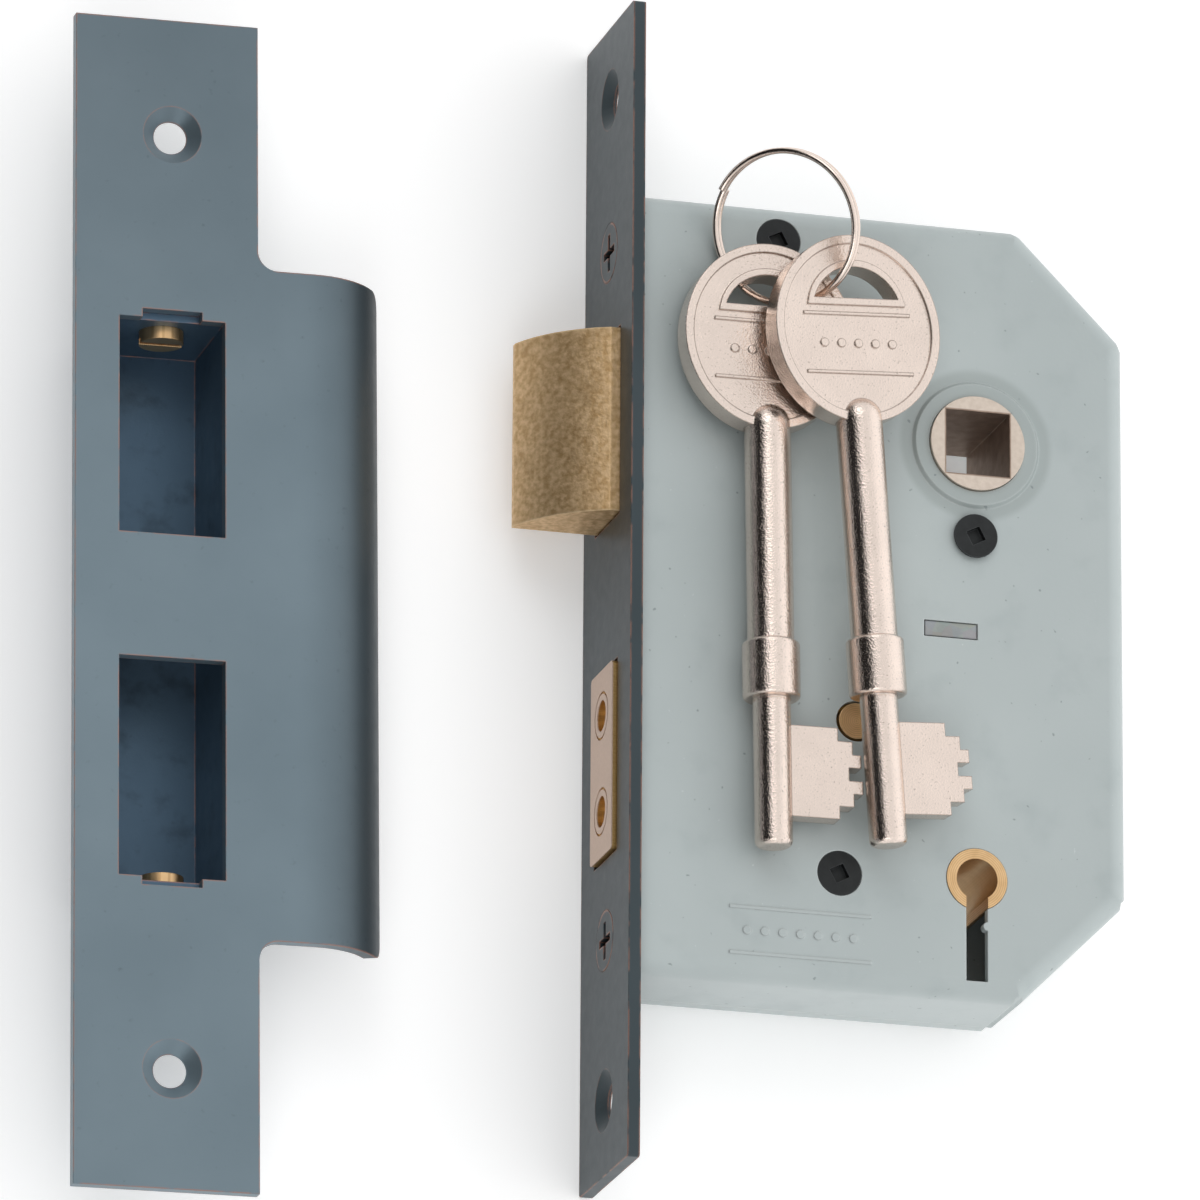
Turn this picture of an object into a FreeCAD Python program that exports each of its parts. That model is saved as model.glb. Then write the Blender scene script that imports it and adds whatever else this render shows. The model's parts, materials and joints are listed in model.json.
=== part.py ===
"""Mortice sashlock set: lock case, box strike, and two lever keys on a split ring.

The set lies flat. The origin is the centre of the forend's outer face, +X runs into the
case, +Y towards the latch and +Z out of the side that the key goes in. All sizes are
millimetres and come from the sheet "sizes".
"""
import FreeCAD, Part
import math
import os
import re

import Sketcher

Vector = FreeCAD.Vector
Rotation = FreeCAD.Rotation

SIZES = {
    # Fits: shafts in holes, sliding pieces, parts that stay clear, and a step past a face
    "running": 0.06,
    "sliding": 0.15,
    "clearance": 0.4,
    "past": 1.0,
    # Forend
    "forend_length": 151.0,
    "forend_width": 22.0,
    "forend_thick": 1.6,
    "forend_corner": 0.5,
    "fixing_pitch": 131.6,
    "fixing_bore": 2.3,
    "fixing_head": 4.0,
    "fixing_sink": 1.2,
    "forend_screw_pitch": 90.4,
    "forend_screw_head": 3.9,
    "forend_screw_shank": 1.9,
    "forend_screw_sink": 1.3,
    "forend_screw_length": 8.5,
    "inner_forend_thick": 3.0,
    # Case
    "case_height": 101.9,
    "case_depth": 64.4,
    "case_thick": 16.0,
    "case_sheet": 1.2,
    "corner_cut": 14.0,
    "bend_radius": 2.5,
    "corner_relief": 0.8,
    "cap_rim": 3.0,
    "mouth_notch": 0.8,
    "mouth_notch_upper": 10.3,
    "mouth_notch_lower": -8.9,
    # Screws and posts that hold the two halves of the case together
    "case_screw_head": 2.85,
    "case_screw_shank": 1.5,
    "case_screw_edge": 0.3,
    "case_screw_sink": 1.1,
    "case_screw_length": 11.0,
    "case_post": 3.0,
    "case_post_spigot": 1.8,
    "upper_screw_x": 20.0,
    "upper_screw_y": 46.2,
    "middle_screw_x": 45.8,
    "middle_screw_y": 9.2,
    "lower_screw_x": 28.1,
    "lower_screw_y": -36.3,
    "middle_screw_proud": 0.8,
    "drive_square": 1.9,
    "drive_depth": 0.9,
    "drive_turn": 27.0,
    # Follower that the handle's spindle turns
    "backset": 46.0,
    "follower_y": 21.4,
    "spindle_square": 8.4,
    "follower_face": 6.2,
    "follower_body": 8.3,
    "follower_proud": 1.1,
    "boss_foot": 9.3,
    "boss_top": 8.0,
    "boss_rise": 0.55,
    "arm_reach": 16.4,
    "arm_half": 2.4,
    "arm_thick": 3.2,
    "lug_reach": 14.0,
    "lug_half": 1.8,
    # Latch
    "latch_height": 24.2,
    "latch_thick": 10.8,
    "latch_throw": 11.0,
    "latch_inside": 14.4,
    "latch_bevel": 9.8,
    "latch_tip": 0.9,
    "latch_nose_radius": 18.0,
    "tail_thick": 2.0,
    "tail_width": 4.0,
    "tail_above_body": 1.4,
    "hook_thick": 2.2,
    "hook_low": 10.6,
    "hook_high": 17.4,
    "hook_gap": 0.5,
    "spring_pocket": 2.5,
    "spring_pocket_depth": 8.0,
    "latch_spring_y": 14.2,
    "latch_spring_coil": 1.9,
    "latch_spring_wire": 0.3,
    "latch_spring_pitch": 2.6,
    "guide_x": 33.5,
    "guide_thick": 1.6,
    "guide_peg": 1.2,
    "guide_peg_length": 5.0,
    "guide_tab": 4.0,
    "tail_seat_length": 6.0,
    "latch_tail_step": 26.0,
    # Shelf between the latch and the deadbolt
    "shelf_y": -3.25,
    "shelf_thick": 1.9,
    "shelf_start": 24.0,
    "shelf_end": 62.0,
    "shelf_tab": 6.8,
    "shelf_tab_x": 42.7,
    "shelf_slot_room": 0.12,
    "return_spring_x": 57.5,
    "return_spring_coil": 2.0,
    "return_spring_wire": 0.35,
    "return_spring_pitch": 2.4,
    # Key way
    "key_below_follower": 57.0,
    "barrel_outer": 3.95,
    "barrel_bore": 2.65,
    "barrel_proud": 0.1,
    "bit_slot_half": 1.4,
    "bit_slot_reach": 13.2,
    "ward_bump": 0.55,
    "ward_bump_drop": 6.0,
    # Deadbolt
    "bolt_y": -22.3,
    "bolt_height": 24.4,
    "bolt_thick": 9.8,
    "bolt_proud": 0.6,
    "bolt_inside": 20.4,
    "bolt_throw": 14.0,
    "bolt_corner": 0.6,
    "bolt_tail_thick": 2.8,
    "bolt_tail_top": -8.2,
    "bolt_tail_bottom": -29.0,
    "bolt_tail_end": 60.0,
    "bolt_tail_root": 8.0,
    "bolt_tail_shoulder": 2.2,
    "talon_left": 50.0,
    "talon_width": 7.0,
    "talon_top": -23.5,
    "pin_radius": 2.0,
    "pin_pitch": 12.5,
    "pin_length": 18.0,
    "pin_sunk": 0.9,
    "pin_ring": 3.1,
    "ring_groove": 0.3,
    "ring_depth": 0.3,
    "rivet_radius": 1.5,
    # Lever pack
    "pivot_x": 30.3,
    "pivot_y": -16.35,
    "pivot_radius": 2.3,
    "pivot_hole_room": 0.35,
    "lever_thick": 1.5,
    "lever_gap": 0.2,
    "lever_boss": 4.4,
    "lever_reach": 28.0,
    "lever_top": 4.5,
    "lever_arm": 3.4,
    "belly_drop": 10.6,
    "belly_left": 10.0,
    "belly_right": 22.0,
    "belly_radius": 16.0,
    "lever_rail": 2.0,
    "stump_side": 3.2,
    "stump_x": 23.2,
    "stump_y": -1.1,
    "gate_left": 14.0,
    "gate_width": 3.6,
    "gate_height": 4.4,
    "pocket_left": 6.4,
    "pocket_right": 25.6,
    "pocket_low": -5.4,
    "pocket_high": 0.9,
    "lever_lift_1": 5.5,
    "lever_lift_2": 10.3,
    "lever_lift_3": 3.7,
    "lever_lift_4": 11.0,
    "lever_lift_5": 5.9,
    "lever_spring_wire": 0.3,
    # Box strike
    "strike_x": -57.4,
    "strike_y": -7.3,
    "strike_turn": 1.0,
    "strike_length": 151.0,
    "strike_left": 12.4,
    "strike_right": 11.0,
    "strike_thick": 1.6,
    "strike_fixing_pitch": 120.7,
    "strike_bore": 2.1,
    "strike_head": 3.75,
    "strike_sink": 1.4,
    "opening_width": 13.5,
    "opening_inner": 8.0,
    "opening_outer": 36.1,
    "notch_width": 7.6,
    "notch_depth": 1.1,
    "lip_half": 43.4,
    "lip_flat": 7.4,
    "lip_roll": 10.3,
    "lip_angle": 68.0,
    "lip_corner": 2.3,
    "lip_fillet": 2.5,
    "box_depth": 15.4,
    "box_sheet": 1.0,
    "box_margin": 0.1,
    "lug_length": 5.0,
    "lug_width": 8.0,
    "lug_drop": 7.6,
    "box_screw_drop": 4.4,
    "box_screw_head": 2.8,
    "box_screw_head_thick": 1.6,
    "box_screw_shank": 1.45,
    "box_screw_length": 4.2,
    "box_screw_slot": 0.4,
    # Keys, measured from the centre of the bow
    "bow_half_width": 11.1,
    "bow_half_height": 12.15,
    "bow_thick": 3.6,
    "bow_rim": 1.1,
    "bow_sink": 0.35,
    "bow_hole_flat": 3.9,
    "bow_hole_top": 8.0,
    "bow_hole_half": 5.7,
    "bow_hole_lip": 0.9,
    "rule_length": 14.4,
    "rule_width": 0.4,
    "rule_upper": 1.9,
    "rule_lower": -5.7,
    "stud_radius": 0.55,
    "stud_pitch": 2.3,
    "shank_start": 8.6,
    "shank_radius": 2.95,
    "collar_radius": 3.65,
    "collar_start": 39.7,
    "collar_end": 47.1,
    "collar_ease": 0.5,
    "stem_radius": 2.4,
    "stem_end": 66.2,
    "stem_ease": 0.8,
    "bit_start": 50.5,
    "bit_end": 62.3,
    "bit_thick": 2.5,
    # Where the keys and the ring lie on the case
    "key_1_x": 17.19,
    "key_1_y": 31.36,
    "key_1_turn": 1.1,
    "key_1_height": 4.07,
    "key_1_pitch": 0.3,
    "key_1_roll": 1.08,
    "key_2_x": 27.27,
    "key_2_y": 32.02,
    "key_2_turn": 4.93,
    "key_2_height": 8.44,
    "key_2_pitch": 2.96,
    "key_2_roll": 5.47,
    "ring_x": 18.57,
    "ring_y": 45.16,
    "ring_height": 8.04,
    "ring_radius": 9.7,
    "ring_wire": 0.4,
    "ring_pitch": 0.84,
    "ring_lean_x": 0.918,
    "ring_lean_y": 0.478,
    "ring_start": 150.0,
    # Plain ornament pressed into the case
    "panel_left": 13.8,
    "panel_right": 32.2,
    "panel_top": -41.7,
    "panel_bottom": -47.6,
    "panel_rise": 0.15,
}

doc = FreeCAD.newDocument("mortice_sashlock")
sheet = doc.addObject("Spreadsheet::Sheet", "sizes")
for row, (name, amount) in enumerate(SIZES.items(), 1):
    sheet.set("A%d" % row, name)
    sheet.set("B%d" % row, str(amount))
    sheet.setAlias("B%d" % row, name)
doc.recompute()

nodes = []


def tied(text):
    """Point every size named in an expression at its cell in the sheet."""
    def cell(word):
        return "sizes." + word.group() if word.group() in SIZES else word.group()
    return re.sub(r"[a-z_][a-z_0-9]*", cell, text)


def number(text):
    """Work out an expression of sizes as a plain number."""
    return float(sheet.evalExpression(tied(text)))


def bind(thing, **sizes):
    """Tie properties to expressions; a double underscore stands for a dot."""
    for name, text in sizes.items():
        thing.setExpression(name.replace("__", "."), tied(text))
    return thing


def between(span):
    """The length of a (low, high) span."""
    return "(%s) - (%s)" % (span[1], span[0])


# ---------------------------------------------------------------- solids used by every piece

TURN_TO = {"x": Rotation(Vector(0, 1, 0), 90), "y": Rotation(Vector(1, 0, 0), -90), "z": Rotation()}


def box(name, x, y, z):
    """A block between a low and a high expression on each axis."""
    block = doc.addObject("Part::Box", name)
    bind(block, Placement__Base__x=x[0], Placement__Base__y=y[0], Placement__Base__z=z[0])
    return bind(block, Length=between(x), Width=between(y), Height=between(z))


def placed_along(thing, axis, centre, start):
    """Stand a round solid along an axis, with its centre line and its start tied."""
    thing.Placement = FreeCAD.Placement(Vector(), TURN_TO[axis])
    across = [letter for letter in "xyz" if letter != axis]
    for letter, text in zip(across + [axis], (*centre, start)):
        thing.setExpression("Placement.Base." + letter, tied(text))
    return thing


def rod(name, axis, centre, span, radius):
    """A cylinder along an axis over a (low, high) span."""
    cylinder = placed_along(doc.addObject("Part::Cylinder", name), axis, centre, span[0])
    return bind(cylinder, Radius=radius, Height=between(span))


def taper(name, axis, centre, span, low_radius, high_radius):
    """A cone frustum along an axis over a (low, high) span."""
    cone = placed_along(doc.addObject("Part::Cone", name), axis, centre, span[0])
    return bind(cone, Radius1=low_radius, Radius2=high_radius, Height=between(span))


def cut(name, base, *tools):
    """Take the tools away from the base."""
    result = doc.addObject("Part::Cut", name)
    result.Base = base
    result.Tool = tools[0] if len(tools) == 1 else fuse(name + "_tools", *tools)
    return result


def moved(thing, place, angle):
    """Turn a thing about Z by an angle, and move its own origin to a place."""
    thing.Placement = FreeCAD.Placement(Vector(), Rotation(Vector(0, 0, 1), number(angle)))
    return bind(thing, **{"Placement__Base__" + letter: text for letter, text in zip("xyz", place)})


def fuse(name, *pieces):
    """Join solids into one."""
    result = doc.addObject("Part::MultiFuse", name)
    result.Shapes = list(pieces)
    return result


def group(name, pieces):
    """Keep separate solids together as one sub-part."""
    result = doc.addObject("Part::Compound", name)
    result.Links = pieces
    return result


def node(label, thing):
    """Name a finished sub-part and list it for export."""
    thing.Label = label
    nodes.append(thing)
    return thing


def bulge(start, finish, radius):
    """An arc between two points, bulging right of the way for a positive radius, else left."""
    way = finish - start
    left = Vector(-way.y, way.x, 0).normalize()
    offset = math.sqrt(max(radius ** 2 - (way.Length / 2) ** 2, 0.0))
    side = 1 if radius > 0 else -1
    centre = start + way * 0.5 + left * offset * side
    first, last = (start, finish) if radius > 0 else (finish, start)
    angles = [math.atan2(point.y - centre.y, point.x - centre.x) for point in (first, last)]
    circle = Part.Circle(centre, Vector(0, 0, 1), abs(radius))
    return Part.ArcOfCircle(circle, angles[0], angles[1])


def outline(sketch, corners, arcs):
    """Draw a closed outline with its corners, and its curved sides' radii, tied to the sheet."""
    places = [Vector(number(across), number(up), 0) for across, up in corners]
    ends = []
    for index, start in enumerate(places):
        finish = places[(index + 1) % len(places)]
        if index in arcs:
            sketch.addGeometry(bulge(start, finish, number(arcs[index])))
            ends.append((1, 2) if number(arcs[index]) > 0 else (2, 1))
        else:
            sketch.addGeometry(Part.LineSegment(start, finish))
            ends.append((1, 2))
    for index, (across, up) in enumerate(corners):
        before = (index - 1) % len(corners)
        join = Sketcher.Constraint("Coincident", before, ends[before][1], index, ends[index][0])
        sketch.addConstraint(join)
        place = places[index]
        for kind, text, amount in (("DistanceX", across, place.x), ("DistanceY", up, place.y)):
            hold = Sketcher.Constraint(kind, -1, 1, index, ends[index][0], amount)
            sketch.setExpression("Constraints[%d]" % sketch.addConstraint(hold), tied(text))
    for index, text in arcs.items():
        hold = Sketcher.Constraint("Radius", index, abs(number(text)))
        sketch.setExpression("Constraints[%d]" % sketch.addConstraint(hold), tied("abs(%s)" % text))


def sketch_in(body, plane, corners, arcs):
    """A sketch of one outline on one of the body's own origin planes."""
    sketch = body.newObject("Sketcher::SketchObject", body.Name + "_outline")
    origin_plane = next(item for item in body.Origin.OriginFeatures if item.Role == plane + "_Plane")
    sketch.AttachmentSupport = [(origin_plane, "")]
    sketch.MapMode = "FlatFace"
    outline(sketch, corners, arcs)
    return sketch


def prism(name, plane, corners, span, arcs=None):
    """A body padded from an outline in the XY, XZ or YZ plane over a (low, high) span."""
    body = doc.addObject("PartDesign::Body", name)
    sketch = sketch_in(body, plane, corners, arcs or {})
    start = "-(%s)" % span[1] if plane == "XZ" else span[0]
    bind(sketch, AttachmentOffset__Base__z=start)
    pad = body.newObject("PartDesign::Pad", name + "_pad")
    pad.Profile = sketch
    bind(pad, Length=between(span))
    return body


def turned(name, corners, arcs=None):
    """A body turned about the Y axis from half of its outline."""
    body = doc.addObject("PartDesign::Body", name)
    sketch = sketch_in(body, "XY", corners, arcs or {})
    turn = body.newObject("PartDesign::Revolution", name + "_turn")
    turn.Profile = sketch
    turn.ReferenceAxis = (sketch, ["V_Axis"])
    turn.Angle = 360
    return body


def edges_at(thing, **place):
    """The numbers of the edges that lie wholly at the given coordinates."""
    doc.recompute()
    found = []
    for index, edge in enumerate(thing.Shape.Edges, 1):
        span = edge.BoundBox
        sides = {"x": (span.XMin, span.XMax), "y": (span.YMin, span.YMax), "z": (span.ZMin, span.ZMax)}
        gaps = [abs(side - number(text)) for axis, text in place.items() for side in sides[axis]]
        if max(gaps) < 0.01:
            found.append(index)
    return found


def rounded(name, thing, radius, edges):
    """Round the numbered edges of a solid."""
    result = doc.addObject("Part::Fillet", name)
    result.Base = thing
    result.Edges = [(index, number(radius), number(radius)) for index in sorted(set(edges))]
    return result


def coil(name, mean_radius, wire, pitch, length):
    """A coil spring or ring along Z, swept along its own helix."""
    helix = bind(doc.addObject("Part::Helix", name + "_path"), Radius=mean_radius, Pitch=pitch, Height=length)
    profile = doc.addObject("Part::Circle", name + "_wire")
    profile.Placement = FreeCAD.Placement(Vector(), Rotation(Vector(1, 0, 0), 90))
    bind(profile, Radius=wire, Placement__Base__x=mean_radius)
    sweep = doc.addObject("Part::Sweep", name)
    sweep.Sections = [profile]
    sweep.Spine = (helix, ["Edge1"])
    sweep.Solid = True
    sweep.Frenet = True
    return sweep


# ---------------------------------------------------------------- places shared by the pieces

CASE_FRONT = "forend_thick"
CASE_REAR = "(forend_thick + case_depth)"
CASE_FACE = "(case_thick / 2)"
CASE_BACK = "(-case_thick / 2)"
INNER_FACE = "(case_thick / 2 - case_sheet)"
INNER_BACK = "(case_sheet - case_thick / 2)"
SEAM = "(cap_rim - case_thick / 2)"
KEY_Y = "(follower_y - key_below_follower)"
FOLLOWER = ("backset", "follower_y")
KEYWAY = ("backset", KEY_Y)
PIVOT = ("pivot_x", "pivot_y")
LATCH_REAR = "(latch_inside + forend_thick)"
CASE_SCREWS = (
    ("upper", "0"),
    ("middle", "middle_screw_proud"),
    ("lower", "0"),
)


def case_outline(inset, front):
    """The case's outline with its two rear corners cut off, set in by a sheet's thickness."""
    side = "(case_height / 2 - %s)" % inset
    rear = "(%s - %s)" % (CASE_REAR, inset)
    start = "(%s - corner_cut - %s * tan(22.5))" % (CASE_REAR, inset)
    end = "(case_height / 2 - corner_cut - %s * tan(22.5))" % inset
    upper = [(rear, end), (start, side), (front, side)]
    lower = [(across, "-" + up) for across, up in reversed(upper)]
    return upper + lower


def drive_recess(name, x, y, top):
    """The square socket sunk in a case screw's head, turned as the screw stopped."""
    half = "drive_square / 2"
    socket = box(name, ("-" + half, half), ("-" + half, half), ("-drive_depth", "past"))
    return moved(group(name + "_turned", [socket]), (x, y, top), "drive_turn")


def screw_solid(name, x, y, top, grow):
    """A countersunk case screw, or with grow its clearance in the sheet."""
    edge = "%s - case_screw_edge" % top
    foot = "%s - case_screw_sink" % top
    head = rod(name + "_head", "z", (x, y), (edge, top + " + " + grow), "case_screw_head + " + grow)
    sink = taper(name + "_sink", "z", (x, y), (foot, edge), "case_screw_shank + " + grow,
                 "case_screw_head + " + grow)
    shank = rod(name + "_shank", "z", (x, y), ("%s - case_screw_length" % top, foot),
                "case_screw_shank + " + grow)
    return fuse(name, head, sink, shank)


# ---------------------------------------------------------------- case

def make_case_body():
    """The deep tray that shows on the key side, folded from sheet."""
    front_edge = CASE_FRONT
    block = prism("case_block", "XY", case_outline("0", front_edge), (SEAM, CASE_FACE))
    rim = [index for index in edges_at(block, z=CASE_FACE) if index not in edges_at(block, x=front_edge)]
    block = rounded("case_bend", block, "bend_radius", rim)
    mouth = "%s - past" % CASE_FRONT
    hollow = prism("case_hollow", "XY", case_outline("case_sheet", mouth), (SEAM + " - past", INNER_FACE))
    rim = [index for index in edges_at(hollow, z=INNER_FACE) if index not in edges_at(hollow, x=mouth)]
    hollow = rounded("case_hollow_bend", hollow, "bend_radius - case_sheet", rim)
    boss = taper("boss", "z", FOLLOWER, (INNER_FACE, CASE_FACE + " + boss_rise"), "boss_foot", "boss_top")
    rules = [box("panel_rule_%d" % index, ("panel_left", "panel_right"),
                 (level + " - rule_width / 2", level + " + rule_width / 2"),
                 (INNER_FACE, CASE_FACE + " + panel_rise"))
             for index, level in enumerate(("panel_top", "panel_bottom"))]
    middle = "(panel_top + panel_bottom) / 2"
    studs = [rod("panel_stud_%d" % index, "z",
                 ("(panel_left + panel_right) / 2 + %d * stud_pitch" % (index - 3), middle),
                 (INNER_FACE, CASE_FACE + " + panel_rise"), "stud_radius")
             for index in range(7)]
    shell = fuse("case_raised", cut("case_shell", block, hollow), boss, *rules, *studs)
    through = (INNER_FACE + " - past", CASE_FACE + " + 2 * past")
    holes = [
        rod("follower_hole", "z", FOLLOWER, through, "follower_face + running"),
        rod("barrel_hole", "z", KEYWAY, through, "barrel_outer + running"),
        rod("pivot_hole", "z", PIVOT, through, "pivot_radius + pivot_hole_room"),
        bit_slot("front_bit_slot", through),
        shelf_slot("front_shelf_slot", through),
    ]
    for place, proud in CASE_SCREWS:
        x, y = place + "_screw_x", place + "_screw_y"
        holes.append(screw_solid(place + "_screw_hole", x, y, "(%s + %s)" % (CASE_FACE, proud), "running"))
    for index, level in enumerate(("mouth_notch_upper", "mouth_notch_lower")):
        holes.append(rod("mouth_notch_%d" % index, "z", (CASE_FRONT, level), through, "mouth_notch"))
    holes += corner_reliefs("case_relief", (SEAM + " - past", CASE_FACE + " + past"))
    return node("case_body", cut("case_body", shell, *holes))


def corner_reliefs(name, span):
    """Small round cuts where the folded sides meet at the cut-off corners."""
    corners = case_outline("0", CASE_FRONT)
    turns = [corners[index] for index in (0, 1, 4, 5)]
    return [rod("%s_%d" % (name, index), "z", corner, span, "corner_relief")
            for index, corner in enumerate(turns)]


def bit_slot(name, span):
    """The slot below the barrel for the key's bit, with a ward bump on one side."""
    slot = box(name + "_way", ("backset - bit_slot_half", "backset + bit_slot_half"),
               (KEY_Y + " - bit_slot_reach", KEY_Y), span)
    bump = rod(name + "_ward", "z", ("backset + bit_slot_half", KEY_Y + " - ward_bump_drop"), span,
               "ward_bump")
    return cut(name, slot, bump)


def shelf_slot(name, span):
    """The slot that the shelf's tab comes through."""
    across, up = "(shelf_tab / 2 + shelf_slot_room)", "(shelf_thick / 2 + shelf_slot_room)"
    return box(name, ("shelf_tab_x - " + across, "shelf_tab_x + " + across),
               ("shelf_y - " + up, "shelf_y + " + up), span)


def make_case_cap():
    """The shallow cap that closes the case's back."""
    block = prism("cap_block", "XY", case_outline("0", CASE_FRONT), (CASE_BACK, SEAM))
    rim = [index for index in edges_at(block, z=CASE_BACK) if index not in edges_at(block, x=CASE_FRONT)]
    block = rounded("cap_bend", block, "case_sheet", rim)
    mouth = "%s - past" % CASE_FRONT
    hollow = prism("cap_hollow", "XY", case_outline("case_sheet", mouth), (INNER_BACK, SEAM + " + past"))
    boss = taper("cap_boss", "z", FOLLOWER, (CASE_BACK + " - boss_rise", INNER_BACK), "boss_top", "boss_foot")
    through = (CASE_BACK + " - 2 * past", INNER_BACK + " + past")
    holes = [
        rod("cap_follower_hole", "z", FOLLOWER, through, "follower_face + running"),
        rod("cap_barrel_hole", "z", KEYWAY, through, "barrel_outer + running"),
        rod("cap_pivot_hole", "z", PIVOT, through, "case_post_spigot"),
        bit_slot("cap_bit_slot", through),
        shelf_slot("cap_shelf_slot", through),
    ]
    for place, proud in CASE_SCREWS:
        holes.append(rod("cap_post_hole_" + place, "z", (place + "_screw_x", place + "_screw_y"), through,
                         "case_post_spigot"))
    holes += [guide_tab("cap_guide_slot_%d" % index, level, through, "sliding")
              for index, level in enumerate(GUIDE_TABS)]
    holes += corner_reliefs("cap_relief", (CASE_BACK + " - past", SEAM + " + past"))
    shell = fuse("cap_raised", cut("cap_shell", block, hollow), boss)
    return node("case_cap", cut("case_cap", shell, *holes))


def make_case_posts():
    """Three tapped posts riveted into the cap."""
    posts = []
    for place, proud in CASE_SCREWS:
        centre = (place + "_screw_x", place + "_screw_y")
        post = rod(place + "_post", "z", centre, (INNER_BACK, INNER_FACE), "case_post")
        spigot = rod(place + "_post_spigot", "z", centre, (CASE_BACK, INNER_BACK), "case_post_spigot")
        whole = fuse(place + "_post_whole", post, spigot)
        screw = screw_solid(place + "_post_thread", *centre, "(%s + %s)" % (CASE_FACE, proud), "running")
        posts.append(cut(place + "_post_tapped", whole, screw))
    return node("case_posts", group("case_posts", posts))


def make_case_screws():
    """Three black screws with square sockets."""
    screws = []
    for place, proud in CASE_SCREWS:
        centre = (place + "_screw_x", place + "_screw_y")
        top = "(%s + %s)" % (CASE_FACE, proud)
        solid = screw_solid(place + "_screw_solid", *centre, top, "0")
        screws.append(cut(place + "_screw", solid, drive_recess(place + "_socket", *centre, top)))
    return node("case_screws", group("case_screws", screws))


# ---------------------------------------------------------------- forend

LATCH_LOW = "(follower_y - latch_height / 2)"
LATCH_HIGH = "(follower_y + latch_height / 2)"
BOLT_LOW = "(bolt_y - bolt_height / 2)"
BOLT_HIGH = "(bolt_y + bolt_height / 2)"


def bolt_windows(name, span, room):
    """The two openings that the latch and the deadbolt slide through."""
    latch = box(name + "_latch", span, (LATCH_LOW + " - " + room, LATCH_HIGH + " + " + room),
                ("-latch_thick / 2 - " + room, "latch_thick / 2 + " + room))
    bolt = box(name + "_bolt", span, (BOLT_LOW + " - " + room, BOLT_HIGH + " + " + room),
               ("-bolt_thick / 2 - " + room, "bolt_thick / 2 + " + room))
    return [latch, bolt]


def countersink(name, centre, start, sink, head, bore, depth):
    """A countersunk hole into the forend, from its outer face inwards."""
    mouth = taper(name + "_mouth", "x", centre, (start, "%s + %s" % (start, sink)), head, bore)
    way = rod(name + "_way", "x", centre, (start + " - past", "%s + %s" % (start, depth)), bore)
    return fuse(name, mouth, way)


def make_forend():
    """The outer forend plate, bronzed brass."""
    half, side = "forend_length / 2", "forend_width / 2"
    plate = box("forend_plate", ("0", "forend_thick"), ("-" + half, half), ("-" + side, side))
    corners = [index for end in ("-" + half, half) for edge in ("-" + side, side)
               for index in edges_at(plate, y=end, z=edge)]
    plate = rounded("forend_rounded", plate, "forend_corner", corners)
    holes = bolt_windows("forend_window", ("-past", "forend_thick + past"), "2 * sliding")
    for sign in ("-", ""):
        tag = "lower" if sign else "upper"
        fixing = (sign + "fixing_pitch / 2", "0")
        holes.append(countersink(tag + "_fixing", fixing, "0", "fixing_sink", "fixing_head", "fixing_bore",
                                 "forend_thick + past"))
        screw = (sign + "forend_screw_pitch / 2", "0")
        holes.append(countersink(tag + "_screw_seat", screw, "0", "forend_screw_sink",
                                 "forend_screw_head + running", "forend_screw_shank + running",
                                 "forend_thick + past"))
    return node("forend", cut("forend", plate, *holes))


def make_inner_forend():
    """The case's own front plate, tapped for the forend screws."""
    start, end = "forend_thick", "(forend_thick + inner_forend_thick)"
    side = "(case_height / 2 - case_sheet - running)"
    plate = box("inner_plate", (start, end), ("-" + side, side),
                (INNER_BACK + " + running", INNER_FACE + " - running"))
    holes = bolt_windows("inner_window", (start + " - past", end + " + past"), "sliding")
    for sign in ("-", ""):
        tag = "lower" if sign else "upper"
        holes.append(rod(tag + "_inner_thread", "x", (sign + "forend_screw_pitch / 2", "0"),
                         (start + " - past", end + " + past"), "forend_screw_shank + running"))
    return node("inner_forend", cut("inner_forend", plate, *holes))


def make_forend_screws():
    """Two countersunk machine screws with cross recesses."""
    screws = []
    for sign in ("-", ""):
        tag = "lower" if sign else "upper"
        centre = (sign + "forend_screw_pitch / 2", "0")
        head = taper(tag + "_screw_cone", "x", centre, ("0", "forend_screw_sink"), "forend_screw_head",
                     "forend_screw_shank")
        shank = rod(tag + "_screw_shank", "x", centre, ("0", "forend_screw_length"), "forend_screw_shank")
        whole = fuse(tag + "_screw_whole", head, shank)
        arm, half = "forend_screw_head * 0.62", "forend_screw_head * 0.13"
        depth = ("-past", "drive_depth")
        slots = []
        for axis, along, across in (("y", arm, half), ("z", half, arm)):
            level = (centre[0] + " - " + along, centre[0] + " + " + along)
            slots.append(box("%s_cross_%s" % (tag, axis), depth, level, ("-" + across, across)))
        screws.append(cut(tag + "_forend_screw", whole, *slots))
    return node("forend_screws", group("forend_screws", screws))


# ---------------------------------------------------------------- latch and follower

TAIL_TOP_FACE = "(-arm_thick / 2 - clearance)"
TAIL_BACK_FACE = "(-arm_thick / 2 - clearance - tail_thick)"
TAIL_LOW = "(follower_y + follower_body + tail_above_body)"
TAIL_HIGH = "(follower_y + follower_body + tail_above_body + tail_width)"
HOOK_X = "(backset + arm_half + hook_gap)"


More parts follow.
